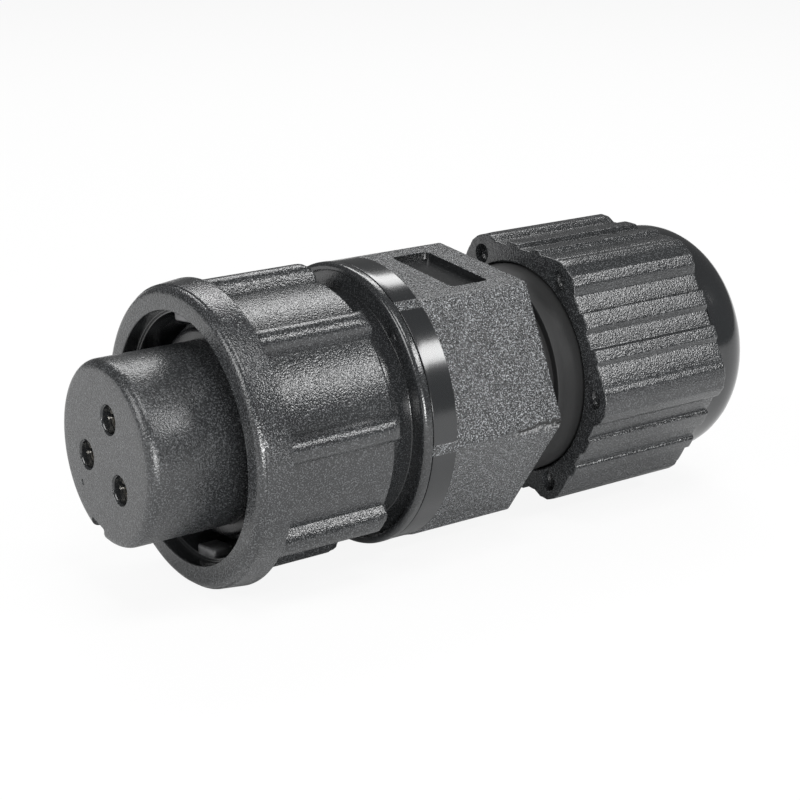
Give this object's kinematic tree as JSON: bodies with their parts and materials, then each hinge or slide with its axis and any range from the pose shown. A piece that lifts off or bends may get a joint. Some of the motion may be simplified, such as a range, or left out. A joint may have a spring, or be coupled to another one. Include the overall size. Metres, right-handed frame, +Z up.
{
  "type": "inline socket connector",
  "caption": "Round inline cable socket with a slotted-contact insert, a ribbed bayonet coupling ring, a hexagonal body and a ribbed cable gland nut.",
  "frame": {"origin": "bottom centre of the bounding box: under the axis, at half the length, on the surface it lies on", "axes": "+X along the axis from the mating face to the cable end, +Z up, +Y across"},
  "size_m": [0.069, 0.0288, 0.0288],
  "materials": {
    "body_nylon": "spark-eroded moulded nylon with glossy band",
    "ring_nylon": "fine satin moulded nylon",
    "insert_nylon": "satin moulded nylon",
    "nut_nylon": "satin grip with a glossy domed end",
    "insulator_nylon": "satin moulded nylon",
    "lock_ring_nylon": "smooth moulded nylon",
    "cage_nylon": "smooth moulded nylon",
    "washer_nylon": "smooth moulded nylon",
    "seal_rubber": "smooth black rubber",
    "contact_brass": "plated turned brass",
    "screw_steel": "plated steel",
    "spring_steel": "bright spring steel"
  },
  "bodies": {
    "root": {"main_body": "body_nylon", "contact_carrier": "insert_nylon", "socket_contact_1": "contact_brass", "socket_contact_2": "contact_brass", "socket_contact_3": "contact_brass", "terminal_screw_1": "screw_steel", "terminal_screw_2": "screw_steel", "terminal_screw_3": "screw_steel", "rear_insulator": "insulator_nylon", "carrier_screw": "screw_steel", "carrier_lock_ring": "lock_ring_nylon", "face_seal": "seal_rubber", "core_o_ring": "seal_rubber", "ring_clip": "spring_steel", "wave_washer": "spring_steel", "gland_seal": "seal_rubber", "clamping_cage": "cage_nylon"},
    "ring": {"coupling_ring": "ring_nylon"},
    "gland_thrust": {"slip_washer": "washer_nylon"},
    "nut": {"gland_nut": "nut_nylon"}
  },
  "joints": [
    {"name": "ring_turn", "type": "hinge", "parent": "root", "child": "ring", "pos_m": [-0.01635, 0, 0.0144], "axis": [1, 0, 0], "continuous": true},
    {"name": "gland_travel", "type": "slide", "parent": "root", "child": "gland_thrust", "axis": [1, 0, 0], "range_m": [-0.0018, 0.0072]},
    {"name": "nut_turn", "type": "hinge", "parent": "gland_thrust", "child": "nut", "pos_m": [0.01865, 0, 0.0144], "axis": [1, 0, 0], "range_deg": [-270.2, 1080.2]}
  ],
  "couplings": [
    {"joint": "nut_turn", "follows": "gland_travel", "rad_per_m": 2618}
  ]
}
